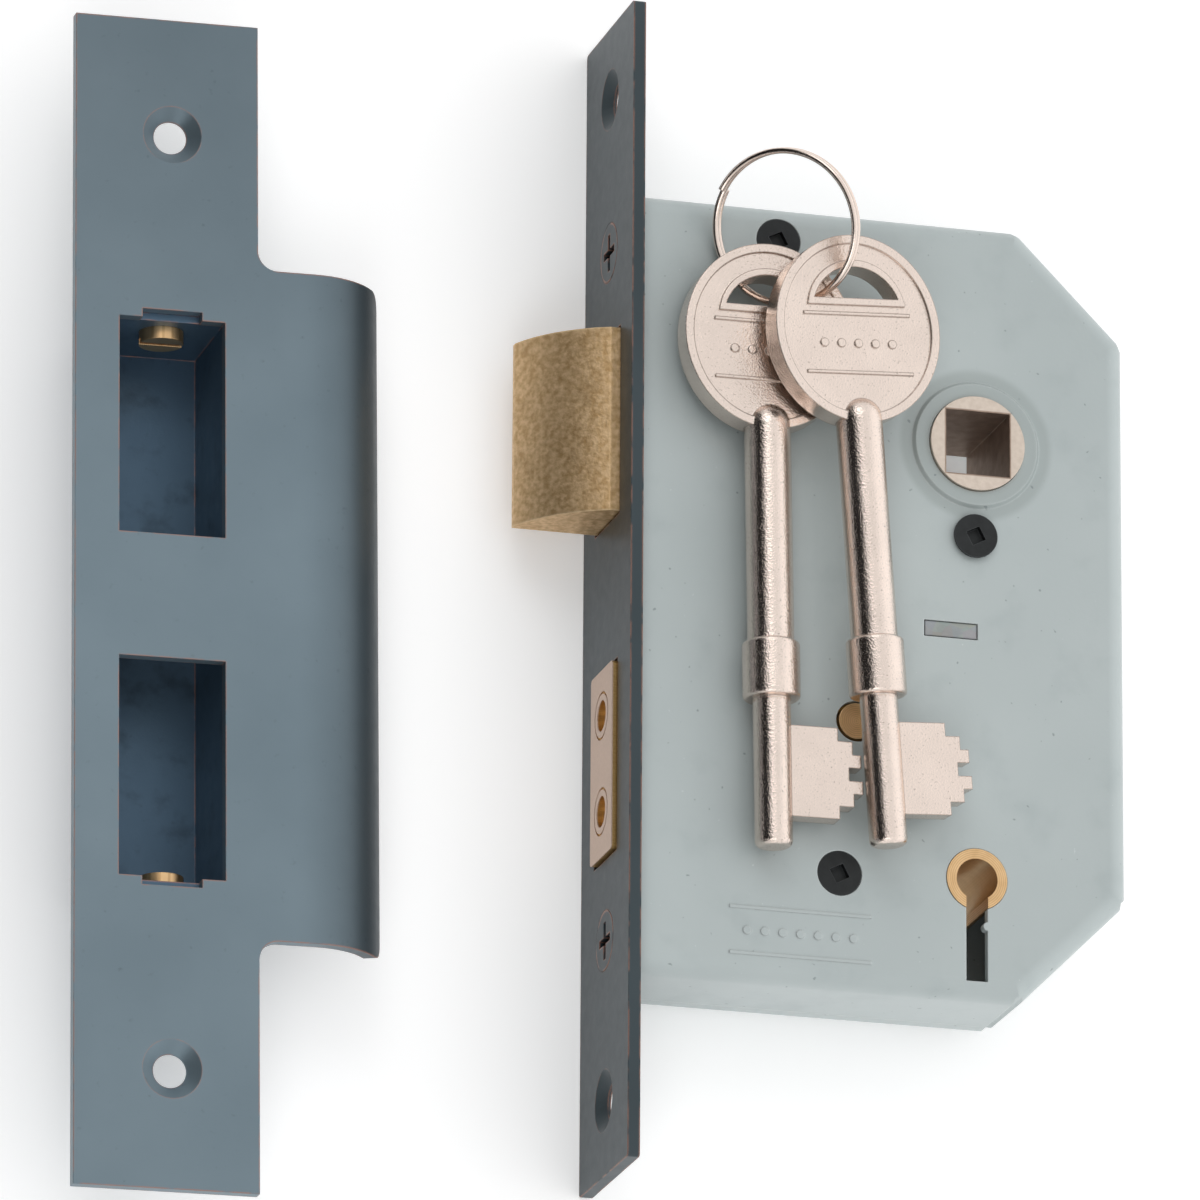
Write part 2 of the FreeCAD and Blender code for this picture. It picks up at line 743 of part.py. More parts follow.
def make_latch_bolt():
    """The cast brass latch head, with its curved bevel on the key side."""
    tip = "-latch_throw"
    low, high = "-latch_thick / 2", "latch_thick / 2"
    corners = [(LATCH_REAR, low), (LATCH_REAR, high), ("latch_bevel - latch_throw", high),
               (tip, low + " + latch_tip"), (tip, low)]
    head = prism("latch_head", "XZ", corners, (LATCH_LOW, LATCH_HIGH), {2: "latch_nose_radius"})
    pocket = rod("latch_pocket", "x", ("latch_spring_y", "0"),
                 (LATCH_REAR + " - spring_pocket_depth", LATCH_REAR + " + past"), "spring_pocket")
    seat = box("latch_tail_seat", (LATCH_REAR + " - tail_seat_length", LATCH_REAR + " + past"),
               (LATCH_HIGH + " - tail_width", LATCH_HIGH + " + past"),
               ("-latch_thick / 2 - past", TAIL_TOP_FACE))
    return node("latch_bolt", cut("latch_bolt", head, pocket, seat))


def make_latch_tail():
    """The steel tail that carries the follower's push to the latch."""
    start = LATCH_REAR + " - tail_seat_length"
    end = HOOK_X + " + hook_thick"
    corners = [(start, LATCH_HIGH + " - tail_width"), ("latch_tail_step", LATCH_HIGH + " - tail_width"),
               ("latch_tail_step", TAIL_LOW), (end, TAIL_LOW), (end, "follower_y + hook_high"),
               (HOOK_X, "follower_y + hook_high"), (HOOK_X, TAIL_HIGH),
               ("latch_tail_step - tail_width", TAIL_HIGH),
               ("latch_tail_step - tail_width", LATCH_HIGH), (start, LATCH_HIGH)]
    return node("latch_tail", prism("latch_tail", "XY", corners, (TAIL_BACK_FACE, TAIL_TOP_FACE)))


def make_latch_hook():
    """The block at the tail's end that the follower's arm pushes."""
    return node("latch_hook", box("latch_hook", (HOOK_X, HOOK_X + " + hook_thick"),
                                  ("follower_y + hook_low", "follower_y + hook_high"),
                                  (TAIL_TOP_FACE, "arm_thick / 2")))


def make_follower():
    """The turning hub with the square hole for the handle's spindle."""
    face = "(case_thick / 2 + follower_proud)"
    barrel = rod("follower_barrel", "z", FOLLOWER, ("-" + face, face), "follower_face")
    body = rod("follower_hub", "z", FOLLOWER, (INNER_BACK + " + clearance", INNER_FACE + " - clearance"),
               "follower_body")
    arm = box("follower_arm", ("backset - arm_half", "backset + arm_half"),
              ("follower_y", "follower_y + arm_reach"), ("-arm_thick / 2", "arm_thick / 2"))
    tip = rod("follower_tip", "z", ("backset", "follower_y + arm_reach"), ("-arm_thick / 2", "arm_thick / 2"),
              "arm_half")
    lug = box("follower_lug", ("backset", "backset + lug_reach"),
              ("follower_y - lug_half", "follower_y + lug_half"), ("-arm_thick / 2", "arm_thick / 2"))
    half = "spindle_square / 2"
    square = box("spindle_hole", ("backset - " + half, "backset + " + half),
                 ("follower_y - " + half, "follower_y + " + half), ("-%s - past" % face, face + " + past"))
    return node("follower", cut("follower", fuse("follower_solid", barrel, body, arm, tip, lug), square))


GUIDE_TABS = ("(follower_y - latch_height / 4)", "(follower_y + latch_height / 4)")


def guide_tab(name, level, span, room):
    """One of the guide's tabs, or with room the slot for it."""
    return box(name, ("guide_x - " + room, "guide_x + guide_thick + " + room),
               (level + " - guide_tab / 2 - " + room, level + " + guide_tab / 2 + " + room), span)


def make_latch_guide():
    """The upright plate behind the latch that its spring pushes against."""
    wall = box("guide_wall", ("guide_x", "guide_x + guide_thick"),
               (LATCH_LOW + " + clearance", LATCH_HIGH + " - tail_width - clearance"),
               (INNER_BACK, INNER_FACE + " - clearance"))
    peg = rod("guide_peg", "x", ("latch_spring_y", "0"), ("guide_x - guide_peg_length", "guide_x"),
              "guide_peg")
    tabs = [guide_tab("guide_tab_%d" % index, level, (CASE_BACK, INNER_BACK), "0")
            for index, level in enumerate(GUIDE_TABS)]
    return node("latch_guide", fuse("latch_guide", wall, peg, *tabs))


def make_latch_spring():
    """The coil spring that pushes the latch out."""
    start = LATCH_REAR + " - spring_pocket_depth + latch_spring_wire + running"
    end = "guide_x - latch_spring_wire - running"
    spring = coil("latch_spring", "latch_spring_coil", "latch_spring_wire", "latch_spring_pitch",
                  "%s - (%s)" % (end, start))
    spring.Placement = FreeCAD.Placement(Vector(number(start), number("latch_spring_y"), 0), TURN_TO["x"])
    return node("latch_spring", spring)


def make_follower_spring():
    """The coil spring under the follower's lug that brings the handle back."""
    start = "shelf_y + shelf_thick / 2 + return_spring_wire"
    end = "follower_y - lug_half - return_spring_wire - running"
    spring = coil("follower_spring", "return_spring_coil", "return_spring_wire", "return_spring_pitch",
                  "%s - (%s)" % (end, start))
    spring.Placement = FreeCAD.Placement(Vector(number("return_spring_x"), number(start), 0), TURN_TO["y"])
    return node("follower_spring", spring)


def make_shelf_plate():
    """The shelf across the case, with a tab through each side of it."""
    level = ("shelf_y - shelf_thick / 2", "shelf_y + shelf_thick / 2")
    plate = box("shelf_web", ("shelf_start", "shelf_end"), level, (INNER_BACK, INNER_FACE))
    tab = box("shelf_tab_block", ("shelf_tab_x - shelf_tab / 2", "shelf_tab_x + shelf_tab / 2"), level,
              (CASE_BACK + " + running", CASE_FACE + " - running"))
    peg = rod("shelf_peg", "y", ("return_spring_x", "0"), (level[1], level[1] + " + guide_peg_length"),
              "guide_peg")
    return node("shelf_plate", fuse("shelf_plate", plate, tab, peg))


# ---------------------------------------------------------------- deadbolt

BOLT_REAR = "(forend_thick + bolt_inside)"
TAIL_BACK = "(-bolt_thick / 2)"
TAIL_FRONT = "(-bolt_thick / 2 + bolt_tail_thick)"
PINS = ("(bolt_y + pin_pitch / 2)", "(bolt_y - pin_pitch / 2)")
RIVETS = ("(bolt_tail_root + 4 * rivet_radius)", "(forend_thick + bolt_inside - 2 * rivet_radius)")


def make_deadbolt_head():
    """The brass bolt head, bored for its hardened pins and rebated for its tail."""
    height, side = (BOLT_LOW, BOLT_HIGH), "bolt_thick / 2"
    block = box("bolt_block", ("-bolt_proud", BOLT_REAR), height, ("-" + side, side))
    corners = [index for level in height for edge in ("-" + side, side)
               for index in edges_at(block, y=level, z=edge)]
    block = rounded("bolt_rounded", block, "bolt_corner", corners)
    rebate = box("bolt_rebate", ("bolt_tail_root", BOLT_REAR + " + past"),
                 (BOLT_LOW + " + bolt_tail_shoulder", BOLT_HIGH + " - bolt_tail_shoulder"),
                 (TAIL_BACK + " - past", TAIL_FRONT))
    holes = [rebate]
    for index, level in enumerate(PINS):
        holes.append(rod("pin_bore_%d" % index, "x", (level, "0"), ("-bolt_proud - past", "pin_length"),
                         "pin_radius"))
        depth = ("-bolt_proud - past", "ring_depth - bolt_proud")
        ring = rod("pin_ring_outer_%d" % index, "x", (level, "0"), depth, "pin_ring")
        core = rod("pin_ring_inner_%d" % index, "x", (level, "0"), depth, "pin_ring - ring_groove")
        holes.append(cut("pin_groove_%d" % index, ring, core))
    holes += [rod("head_rivet_hole_%d" % index, "z", (place, "bolt_y"), (TAIL_BACK, side + " + past"),
                  "rivet_radius")
              for index, place in enumerate(RIVETS)]
    return node("deadbolt_head", cut("deadbolt_head", block, *holes))


def make_deadbolt_tail():
    """The tail plate, slotted for the pivot and notched for the key's bit."""
    upper, lower = "(%s - bolt_tail_shoulder)" % BOLT_HIGH, "(%s + bolt_tail_shoulder)" % BOLT_LOW
    neck = BOLT_REAR + " + clearance"
    talon_right = "talon_left + talon_width"
    corners = [("bolt_tail_root", lower), (neck, lower), (neck, "bolt_tail_bottom"),
               ("talon_left", "bolt_tail_bottom"),
               ("talon_left", "talon_top"), (talon_right, "talon_top"), (talon_right, "bolt_tail_bottom"),
               ("bolt_tail_end", "bolt_tail_bottom"), ("bolt_tail_end", "bolt_tail_top"),
               (neck, "bolt_tail_top"),
               (neck, upper), ("bolt_tail_root", upper)]
    plate = prism("bolt_tail_plate", "XY", corners, (TAIL_BACK, TAIL_FRONT))
    through = (TAIL_BACK + " - past", TAIL_FRONT + " + past")
    width = "(pivot_radius + running)"
    slot = box("pivot_slot", ("pivot_x", "pivot_x + bolt_throw"),
               ("pivot_y - " + width, "pivot_y + " + width), through)
    ends = [rod("pivot_slot_end_%d" % index, "z", (place, "pivot_y"), through, width)
            for index, place in enumerate(("pivot_x", "pivot_x + bolt_throw"))]
    rivets = [rod("tail_rivet_hole_%d" % index, "z", (place, "bolt_y"), through, "rivet_radius")
              for index, place in enumerate(RIVETS)]
    spigot = rod("stump_hole", "z", STUMP, through, "stump_side / 2 - clearance")
    return node("deadbolt_tail", cut("deadbolt_tail", plate, slot, *ends, *rivets, spigot))


STUMP = ("(pivot_x + stump_x)", "(pivot_y + stump_y)")
PACK_FLOOR = "(-bolt_thick / 2 + bolt_tail_thick + lever_gap)"
PACK_TOP = "(-bolt_thick / 2 + bolt_tail_thick + 5 * (lever_gap + lever_thick))"


def make_bolt_stump():
    """The square stump riveted in the tail, which the levers' gates let past."""
    half = "stump_side / 2"
    post = box("stump_post", (STUMP[0] + " - " + half, STUMP[0] + " + " + half),
               (STUMP[1] + " - " + half, STUMP[1] + " + " + half), (TAIL_FRONT, PACK_TOP))
    spigot = rod("stump_spigot", "z", STUMP, (TAIL_BACK, TAIL_FRONT), "stump_side / 2 - clearance")
    return node("bolt_stump", fuse("bolt_stump", post, spigot))


def make_deadbolt_rivets():
    """Two rivets through the head and the tail."""
    rivets = [rod("rivet_%d" % index, "z", (place, "bolt_y"), (TAIL_BACK, "bolt_thick / 2"), "rivet_radius")
              for index, place in enumerate(RIVETS)]
    return node("deadbolt_rivets", group("deadbolt_rivets", rivets))


def make_hardened_pins():
    """Two hard steel pins along the bolt head, against sawing."""
    pins = [rod("pin_%d" % index, "x", (level, "0"), ("pin_sunk - bolt_proud", "pin_length"), "pin_radius")
            for index, level in enumerate(PINS)]
    return node("hardened_pins", group("hardened_pins", pins))


# ---------------------------------------------------------------- lever pack and key barrel

def make_lever_pivot():
    """The brass post that the levers turn on."""
    post = rod("pivot_post", "z", PIVOT, (INNER_BACK, CASE_FACE + " + barrel_proud"), "pivot_radius")
    spigot = rod("pivot_spigot", "z", PIVOT, (CASE_BACK, INNER_BACK), "case_post_spigot")
    return node("lever_pivot", fuse("lever_pivot", post, spigot))


def lever_floor(index):
    """The height of a lever's lower face, counted from 0 at the tail."""
    return "(%s + %d * (lever_thick + lever_gap))" % (PACK_FLOOR, index)


def make_lever(index):
    """One brass lever: boss, arm with its gate, and the belly that the key lifts."""
    label = "lever_%d" % (index + 1)
    floor = lever_floor(index)
    span = (floor, floor + " + lever_thick")
    shape = [("0", "-lever_arm"), ("belly_left - lever_arm", "-lever_arm"), ("belly_left", "-belly_drop"),
             ("belly_right", "-belly_drop"), ("lever_reach", "pocket_low - lever_rail"),
             ("lever_reach", "lever_top"), ("0", "lever_top")]
    corners = [("pivot_x + " + across, "pivot_y + " + up) for across, up in shape]
    plate = prism(label + "_plate", "XY", corners, span, {2: "belly_radius"})
    boss = rod(label + "_boss", "z", PIVOT, span, "lever_boss")
    through = (floor + " - past", floor + " + lever_thick + past")
    bore = rod(label + "_bore", "z", PIVOT, through, "pivot_radius + running")
    gate = "(stump_y - (gate_left + gate_width / 2) * sin(lever_lift_%d / 2))" % (index + 1)
    low, high = gate + " - gate_height / 2", gate + " + gate_height / 2"
    gate_right = "gate_left + gate_width"
    window = [("pocket_left", "pocket_low"), ("gate_left", "pocket_low"), ("gate_left", low),
              (gate_right, low), (gate_right, "pocket_low"), ("pocket_right", "pocket_low"),
              ("pocket_right", "pocket_high"), (gate_right, "pocket_high"), (gate_right, high),
              ("gate_left", high), ("gate_left", "pocket_high"), ("pocket_left", "pocket_high")]
    corners = [("pivot_x + " + across, "pivot_y + " + up) for across, up in window]
    opening = prism(label + "_window", "XY", corners, through)
    return node(label, cut(label, fuse(label + "_solid", plate, boss), bore, opening))


def make_lever_springs():
    """A bent wire over each lever, which presses it down from the shelf."""
    springs = []
    wire = "lever_spring_wire"
    foot = "pivot_y + lever_top + running"
    roof = "shelf_y - shelf_thick / 2"
    for index in range(5):
        middle = lever_floor(index) + " + lever_thick / 2"
        left, right = "pivot_x + lever_boss", "pivot_x + lever_reach * 0.6"
        corners = [(left, foot), (left + " + 2 * " + wire, foot), (right, roof + " - 2 * " + wire),
                   (right + " + 4 * " + wire, roof + " - 2 * " + wire), (right + " + 4 * " + wire, roof),
                   (right + " - " + wire, roof)]
        springs.append(prism("lever_spring_%d" % index, "XY", corners,
                             (middle + " - " + wire, middle + " + " + wire)))
    return node("lever_springs", group("lever_springs", springs))


def make_key_barrel():
    """The brass barrel that turns with the key and shutters the keyhole."""
    face = "(case_thick / 2 + barrel_proud)"
    tube = rod("barrel_tube", "z", KEYWAY, ("-" + face, face), "barrel_outer")
    span = ("-%s - past" % face, face + " + past")
    bore = rod("barrel_bore_way", "z", KEYWAY, span, "barrel_bore")
    slot = box("barrel_slot", ("backset - bit_slot_half", "backset + bit_slot_half"),
               (KEY_Y + " - barrel_outer - past", KEY_Y), span)
    return node("key_barrel", cut("key_barrel", tube, bore, slot))


# ---------------------------------------------------------------- box strike

STRIKE_BACK = "(box_depth - forend_width / 2)"
STRIKE_FACE = "(box_depth - forend_width / 2 + strike_thick)"
BOX_HALF = "(opening_width / 2 + box_margin + box_sheet)"
BOX_END = "(opening_outer + box_margin + box_sheet)"


def laid_strike(thing):
    """Lay a piece of the strike, made about the strike's own centre, beside the lock."""
    return moved(thing, ("strike_x", "strike_y", "0"), "strike_turn")


def make_strike_plate():
    """The bronzed strike plate, with its lip rolled back for the latch."""
    lip = ("-lip_half", "lip_half")
    thick = (STRIKE_BACK, STRIKE_FACE)
    ends = ("-strike_length / 2", "strike_length / 2")
    plate = box("strike_flat", ("-strike_left", "strike_right"), ends, thick)
    flat = box("lip_sheet", ("strike_right - past", "strike_right + lip_flat"), lip, thick)
    roll = cut("lip_rolled", lip_sector("lip_outside", lip, "lip_roll"),
               lip_sector("lip_inside", lip, "lip_roll - strike_thick"))
    solid = fuse("strike_solid", plate, flat, roll)
    solid.Refine = True
    inner_corners = [index for level in lip for index in edges_at(solid, x="strike_right", y=level)]
    solid = rounded("strike_filleted", solid, "lip_fillet", inner_corners)
    reach = "strike_right + lip_flat + lip_roll * sin(lip_angle)"
    doc.recompute()
    outer_corners = [index for index, edge in enumerate(solid.Shape.Edges, 1)
                     if edge.BoundBox.XMax > number(reach) - 0.01
                     and edge.BoundBox.YLength < 0.01
                     and edge.Length < number("strike_thick") + 0.01]
    solid = rounded("strike_lip_rounded", solid, "lip_corner", outer_corners)
    through = (STRIKE_BACK + " - past", STRIKE_FACE + " + past")
    holes = []
    for tag, near, far, sign in (("latch", "opening_inner", "opening_outer", "+"),
                                 ("bolt", "-opening_outer", "-opening_inner", "-")):
        holes.append(box(tag + "_opening", ("-opening_width / 2", "opening_width / 2"), (near, far), through))
        edge = sign + "opening_outer"
        notch = sorted((edge, "%s %s notch_depth" % (edge, sign)), key=number)
        holes.append(box(tag + "_notch", ("-notch_width / 2", "notch_width / 2"), notch, through))
        centre = ("0", sign + "strike_fixing_pitch / 2")
        holes.append(rod(tag + "_fixing_way", "z", centre, through, "strike_bore"))
        holes.append(taper(tag + "_fixing_sink", "z", centre, (STRIKE_FACE + " - strike_sink", STRIKE_FACE),
                           "strike_bore", "strike_head"))
    return node("strike_plate", laid_strike(cut("strike_plate", solid, *holes)))


def lip_sector(name, lip, radius):
    """The part of a cylinder that the lip rolls over."""
    sector = doc.addObject("Part::Cylinder", name)
    sector.Placement = FreeCAD.Placement(Vector(), TURN_TO["y"].multiply(Rotation(Vector(0, 0, 1), -90)))
    bind(sector, Radius=radius, Height=between(lip), Angle="lip_angle", Placement__Base__y=lip[0])
    return bind(sector, Placement__Base__x="strike_right + lip_flat",
                Placement__Base__z=STRIKE_FACE + " - lip_roll")


def make_dust_box():
    """The pressed box behind both openings of the strike."""
    outside = box("box_outside", ("-" + BOX_HALF, BOX_HALF),
                  ("-" + BOX_END, BOX_END), ("-forend_width / 2", STRIKE_BACK))
    half, end = "(%s - box_sheet)" % BOX_HALF, "(%s - box_sheet)" % BOX_END
    inside = box("box_inside", ("-" + half, half),
                 ("-" + end, end),
                 ("-forend_width / 2 + box_sheet", STRIKE_BACK + " + past"))
    holes = [rod(tag + "_box_hole", "y", ("0", STRIKE_BACK + " - box_screw_drop"),
                 (face + " - 2 * past", face + " + 2 * past"), "box_screw_shank + running")
             for tag, _, face in strike_ends()]
    return node("dust_box", laid_strike(cut("dust_box", outside, inside, *holes)))


def strike_ends():
    """For each end of the dust box: a tag, its direction and the box's outer face there."""
    return (("upper", "+", "(%s)" % BOX_END), ("lower", "-", "(-%s)" % BOX_END))


def make_dust_box_lugs():
    """Two tapped lugs welded behind the strike plate."""
    lugs = []
    for tag, sign, face in strike_ends():
        span = sorted((face, "%s %s lug_length" % (face, sign)), key=number)
        block = box(tag + "_lug_block", ("-lug_width / 2", "lug_width / 2"), span,
                    (STRIKE_BACK + " - lug_drop", STRIKE_BACK))
        way = ("%s - past" % span[0], "%s + past" % span[1])
        thread = rod(tag + "_lug_thread", "y", ("0", STRIKE_BACK + " - box_screw_drop"), way,
                     "box_screw_shank + running")
        lugs.append(cut(tag + "_lug", block, thread))
    return node("dust_box_lugs", laid_strike(group("dust_box_lugs", lugs)))


def make_dust_box_screws():
    """Two brass screws from inside the box into the lugs."""
    screws = []
    for tag, sign, face in strike_ends():
        other = "-" if sign == "+" else "+"
        wall = "(%s %s box_sheet)" % (face, other)
        centre = ("0", STRIKE_BACK + " - box_screw_drop")
        head_span = sorted((wall, "%s %s box_screw_head_thick" % (wall, other)), key=number)
        head = rod(tag + "_box_head", "y", centre, head_span, "box_screw_head")
        shank_span = sorted((wall, "%s %s box_screw_length" % (face, sign)), key=number)
        shank = rod(tag + "_box_shank", "y", centre, shank_span, "box_screw_shank")
        groove = ("%s %s past" % (wall, other), "%s %s 2 * box_screw_head_thick" % (wall, other))
        across = ("-box_screw_head - past", "box_screw_head + past")
        slot = box(tag + "_box_slot", across, sorted(groove, key=number),
                   (centre[1] + " - box_screw_slot", centre[1] + " + box_screw_slot"))
        screws.append(cut(tag + "_box_screw", fuse(tag + "_box_whole", head, shank), slot))
    return node("dust_box_screws", laid_strike(group("dust_box_screws", screws)))


# ---------------------------------------------------------------- keys and ring

BIT_STEPS = (5.8, 7.7, 8.8, 7.2, 9.0, 7.8, 5.9)


def oval(name, inset, span):
    """The key bow's oval, set in from its edge."""
    edge = doc.addObject("Part::Ellipse", name + "_edge")
    edge.Placement = FreeCAD.Placement(Vector(), Rotation(Vector(0, 0, 1), 90))
    bind(edge, MajorRadius="bow_half_height - " + inset, MinorRadius="bow_half_width - " + inset)
    bind(edge, Placement__Base__z=span[0])
    disc = doc.addObject("Part::Extrusion", name)
    disc.Base = edge
    disc.DirMode = "Custom"
    disc.Dir = Vector(0, 0, 1)
    disc.Solid = True
    return bind(disc, LengthFwd=between(span))


def bow_hole(name, grow, span):
    """The D-shaped hole in the bow, or with grow the lip around it."""
    half = "(bow_hole_half + %s)" % grow
    rise = "(bow_hole_top - bow_hole_flat + 2 * %s)" % grow
    corners = [("-" + half, "bow_hole_flat - " + grow), (half, "bow_hole_flat - " + grow)]
    return prism(name, "XY", corners, span, {1: "(%s ^ 2 + %s ^ 2) / (2 * %s)" % (half, rise, rise)})


def key_blank(tag):
    """A lever key with its bow's centre at the origin and its shank along -Y."""
    face = "bow_thick / 2"
    bow = oval(tag + "_bow", "0", ("-" + face, face))
    sunk = []
    raised = []
    for side, span in (("front", (face + " - bow_sink", face + " + past")),
                       ("back", ("-%s - past" % face, "-%s + bow_sink" % face))):
        name = "%s_%s" % (tag, side)
        lip = bow_hole(name + "_lip", "bow_hole_lip", span)
        sunk.append(cut(name + "_field", oval(name + "_oval", "bow_rim", span), lip))
        level = (face + " - bow_sink - running", face + " - bow_sink / 3")
        if side == "back":
            level = ("-%s + bow_sink / 3" % face, "-%s + bow_sink + running" % face)
        for index, height in enumerate(("rule_upper", "rule_lower")):
            raised.append(box("%s_rule_%d" % (name, index), ("-rule_length / 2", "rule_length / 2"),
                              (height + " - rule_width / 2", height + " + rule_width / 2"), level))
        for index in range(-2, 3):
            place = ("%d * stud_pitch" % index, "(rule_upper + rule_lower) / 2")
            raised.append(rod("%s_stud_%d" % (name, index + 2), "z", place, level, "stud_radius"))
    bow = fuse(tag + "_bow_face", cut(tag + "_bow_sunk", bow, *sunk), *raised)
    bow = cut(tag + "_bow_holed", bow, bow_hole(tag + "_hole", "0", ("-%s - past" % face, face + " + past")))
    profile = [("0", "-stem_end"), ("stem_radius - stem_ease", "-stem_end"),
               ("stem_radius", "stem_ease - stem_end"), ("stem_radius", "-collar_end"),
               ("collar_radius - collar_ease", "-collar_end"), ("collar_radius", "collar_ease - collar_end"),
               ("collar_radius", "-collar_start - collar_ease"),
               ("collar_radius - collar_ease", "-collar_start"), ("shank_radius", "-collar_start"),
               ("shank_radius", "-shank_start - shank_radius"), ("0", "-shank_start")]
    shank = turned(tag + "_shank", profile, {1: "stem_ease * 1.05", 4: "collar_ease * 1.05",
                                             6: "collar_ease * 1.05", 9: "shank_radius"})
    depth = "(bit_end - bit_start) / %d" % len(BIT_STEPS)
    steps = [("0", "-bit_end"), ("0", "-bit_start")]
    for index, length in enumerate(BIT_STEPS):
        reach = "stem_radius + %s" % length
        steps.append((reach, "-bit_start - %d * %s" % (index, depth)))
        steps.append((reach, "-bit_start - %d * %s" % (index + 1, depth)))
    bit = prism(tag + "_bit", "XY", list(reversed(steps)), ("-bit_thick / 2", "bit_thick / 2"))
    return fuse(tag, bow, shank, bit)


def make_key(label):
    """A key laid on the case, turned on the bench and tipped on what it lies on."""
    key = group(label, [key_blank(label + "_blank")])
    spin = Rotation(Vector(0, 0, 1), number(label + "_turn"))
    tip = Rotation(Vector(1, 0, 0), number(label + "_pitch"))
    lean = Rotation(Vector(0, 1, 0), number(label + "_roll"))
    key.Placement = FreeCAD.Placement(Vector(), spin.multiply(tip).multiply(lean))
    bind(key, Placement__Base__x=label + "_x", Placement__Base__y=label + "_y")
    bind(key, Placement__Base__z=CASE_FACE + " + " + label + "_height")
    return node(label, key)


def make_split_ring():
    """The two-turn split ring, leaning through both bows."""
    ring = coil("split_ring", "ring_radius", "ring_wire", "ring_pitch", "2 * ring_pitch")
    normal = Vector(-number("ring_lean_x"), -number("ring_lean_y"), 1)
    lean = Rotation(Vector(0, 0, 1), normal)
    place = Vector(number("ring_x"), number("ring_y"), number(CASE_FACE + " + ring_height"))
    middle = lean.multVec(Vector(0, 0, number("ring_pitch")))
    start = Rotation(Vector(0, 0, 1), number("ring_start"))
    ring.Placement = FreeCAD.Placement(place - middle, lean.multiply(start))
    return node("split_ring", ring)


# ---------------------------------------------------------------- build, check and write

make_case_body()
make_case_cap()
make_case_posts()
make_case_screws()
make_forend()
make_inner_forend()
make_forend_screws()
make_shelf_plate()
make_latch_bolt()
make_latch_tail()
make_latch_hook()
make_latch_guide()
make_latch_spring()
make_follower()
make_follower_spring()
make_deadbolt_head()
make_deadbolt_tail()
make_bolt_stump()
make_deadbolt_rivets()
make_hardened_pins()
make_lever_pivot()
for lever in range(5):
    make_lever(lever)
make_lever_springs()
make_key_barrel()
make_strike_plate()
make_dust_box()
make_dust_box_lugs()
make_dust_box_screws()
make_key("key_1")
make_key("key_2")
make_split_ring()

doc.recompute()
failed = [thing.Label for thing in doc.Objects if {"Invalid", "Error"} & set(thing.State)]
if failed:
    raise RuntimeError("these objects failed: %s" % ", ".join(failed))
for thing in nodes:
    if thing.Shape.isNull() or not thing.Shape.isValid():
        raise RuntimeError("%s has no valid shape" % thing.Label)

os.makedirs("parts", exist_ok=True)
for thing in nodes:
    thing.Shape.exportStep("parts/%s.step" % thing.Label)
    print("%-18s %2d solid(s) %9.1f mm3" % (thing.Label, len(thing.Shape.Solids), thing.Shape.Volume))
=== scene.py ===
"""Looks for a mortice sashlock set: lock case, box strike, and two lever keys on a ring."""
import json

import bpy
from mathutils import Matrix, Vector


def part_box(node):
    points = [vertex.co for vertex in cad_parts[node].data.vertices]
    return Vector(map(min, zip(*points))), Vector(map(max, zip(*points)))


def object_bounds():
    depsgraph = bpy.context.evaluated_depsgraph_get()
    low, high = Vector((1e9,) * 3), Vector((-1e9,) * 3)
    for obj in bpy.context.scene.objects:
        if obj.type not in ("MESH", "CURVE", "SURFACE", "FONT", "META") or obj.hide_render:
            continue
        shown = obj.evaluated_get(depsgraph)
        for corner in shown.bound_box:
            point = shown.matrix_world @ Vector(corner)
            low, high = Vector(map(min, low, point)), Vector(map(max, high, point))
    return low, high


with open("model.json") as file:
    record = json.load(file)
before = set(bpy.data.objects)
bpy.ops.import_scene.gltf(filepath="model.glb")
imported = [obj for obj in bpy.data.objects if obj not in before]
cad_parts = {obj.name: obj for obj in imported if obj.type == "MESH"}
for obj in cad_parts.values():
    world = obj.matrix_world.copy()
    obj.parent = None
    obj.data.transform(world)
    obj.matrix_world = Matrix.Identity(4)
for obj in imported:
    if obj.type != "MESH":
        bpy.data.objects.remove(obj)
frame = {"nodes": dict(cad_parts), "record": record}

cad_box = [list(corner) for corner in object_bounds()]


# ---------------------------------------------------------------- lock case
# Two pressings of 1.2 mm steel, stove painted pale grey-green and held together by screws.
# The paint is satin, with painted shade on the boss round the follower, a faint orange peel,
# dust specks and a slight wave beside the forend.

class Value:
    """One output of some nodes, which takes part in ordinary arithmetic."""

    def __init__(self, nodes, socket):
        self.nodes = nodes
        self.socket = socket

    def __add__(self, other):
        return self.nodes.sum("ADD", self, other)

    def __sub__(self, other):
        return self.nodes.sum("SUBTRACT", self, other)

    def __rsub__(self, other):
        return self.nodes.sum("SUBTRACT", other, self)

    def __mul__(self, other):
        return self.nodes.sum("MULTIPLY", self, other)

    def __pow__(self, other):
        return self.nodes.sum("POWER", self, other)

    def __abs__(self):
        return self.nodes.sum("ABSOLUTE", self)

    __radd__ = __add__
    __rmul__ = __mul__

    def rise(self, low, high):
        """0 below low, 1 above high, and smooth between them."""
        inputs = {"Value": self, "From Min": low, "From Max": high}
        return self.nodes.add("ShaderNodeMapRange", {"interpolation_type": "SMOOTHSTEP"}, inputs, "Result")


